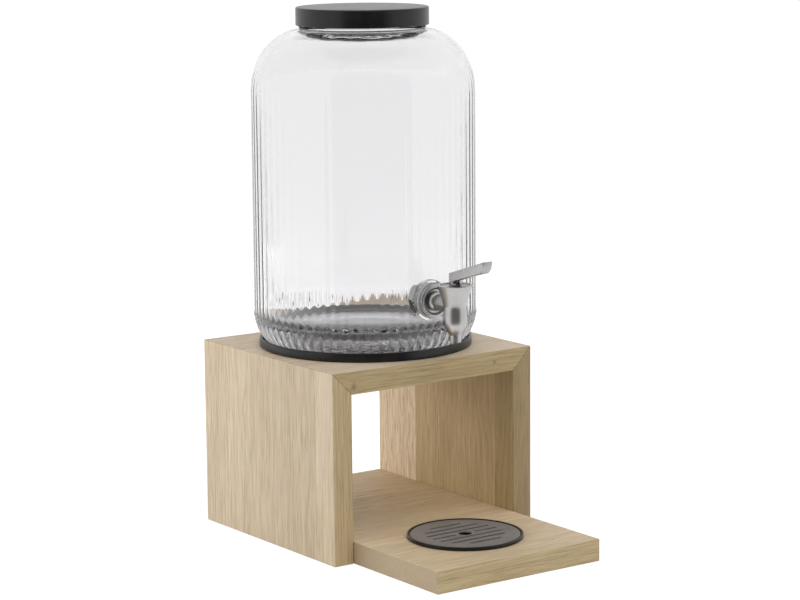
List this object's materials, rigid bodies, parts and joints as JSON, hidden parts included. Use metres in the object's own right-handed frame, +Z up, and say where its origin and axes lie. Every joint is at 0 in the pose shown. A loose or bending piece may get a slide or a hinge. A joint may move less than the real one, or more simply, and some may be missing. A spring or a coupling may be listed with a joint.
{
  "type": "drink dispenser",
  "caption": "Fluted glass drink dispenser jar with a steel lever tap and black lid, on a mitred oak stand with a base board that holds a round drip tray.",
  "frame": {"origin": "on the floor, at the middle of the part's bounding box: midway across the stand, and midway from the front of the base board to the back of the stand", "axes": "+Z up, +X to the right of the dispenser as it is faced, -Y the way that the tap and the drip tray face"},
  "size_m": [0.216, 0.332, 0.4746],
  "materials": {
    "oak": "oiled oak, matt",
    "beech": "plain beech",
    "clear_glass": "clear pressed glass",
    "black_coat": "matt black coat on steel",
    "grey_coat": "dark grey satin coat on steel",
    "brushed_steel": "satin stainless steel",
    "dark_steel": "darkened steel",
    "clear_silicone": "clear silicone rubber",
    "white_silicone": "white silicone rubber"
  },
  "bodies": {
    "stand": {"left_side_panel": "oak", "right_side_panel": "oak", "top_panel": "oak", "base_board": "oak", "mitre_biscuit_left_1": "beech", "mitre_biscuit_left_2": "beech", "mitre_biscuit_right_1": "beech", "mitre_biscuit_right_2": "beech", "base_dowel_left_1": "beech", "base_dowel_left_2": "beech", "base_dowel_right_1": "beech", "base_dowel_right_2": "beech"},
    "dish": {"base_dish": "black_coat"},
    "jar": {"glass_jar": "clear_glass", "tap_body": "brushed_steel", "tap_escutcheon": "brushed_steel", "outer_washer": "clear_silicone", "inner_washer": "clear_silicone", "plate_washer": "brushed_steel", "lock_nut": "brushed_steel", "bonnet": "brushed_steel", "bonnet_gasket": "white_silicone"},
    "lid": {"lid_shell": "black_coat", "lid_seal": "white_silicone"},
    "stem": {"valve_stem": "dark_steel", "valve_plug": "white_silicone", "return_spring": "brushed_steel"},
    "lever": {"lever": "brushed_steel", "lever_pin": "brushed_steel"},
    "tray": {"drip_tray": "black_coat"},
    "grate": {"drip_grate": "grey_coat"}
  },
  "joints": [
    {"name": "dish_lift", "type": "slide", "parent": "stand", "child": "dish", "axis": [0, 0, 1], "range_m": [0, 0.03]},
    {"name": "jar_lift", "type": "slide", "parent": "dish", "child": "jar", "axis": [0, 0, 1], "range_m": [0, 0.04]},
    {"name": "lid_lift", "type": "slide", "parent": "jar", "child": "lid", "axis": [0, 0, 1], "range_m": [0, 0.04]},
    {"name": "stem_lift", "type": "slide", "parent": "jar", "child": "stem", "axis": [0, 0, 1], "range_m": [0, 0.00142], "deforming": ["return_spring"]},
    {"name": "lever_tilt", "type": "hinge", "parent": "stem", "child": "lever", "pos_m": [0, -0.075, 0.2451], "axis": [1, 0, 0], "range_deg": [0, 30], "stiffness_Nm_per_rad": 0.3, "springref_deg": -17.19},
    {"name": "tray_lift", "type": "slide", "parent": "stand", "child": "tray", "axis": [0, 0, 1], "range_m": [0, 0.03]},
    {"name": "grate_lift", "type": "slide", "parent": "tray", "child": "grate", "axis": [0, 0, 1], "range_m": [0, 0.03]}
  ],
  "couplings": [
    {"joint": "lever_tilt", "follows": "stem_lift", "rad_per_m": 370}
  ]
}
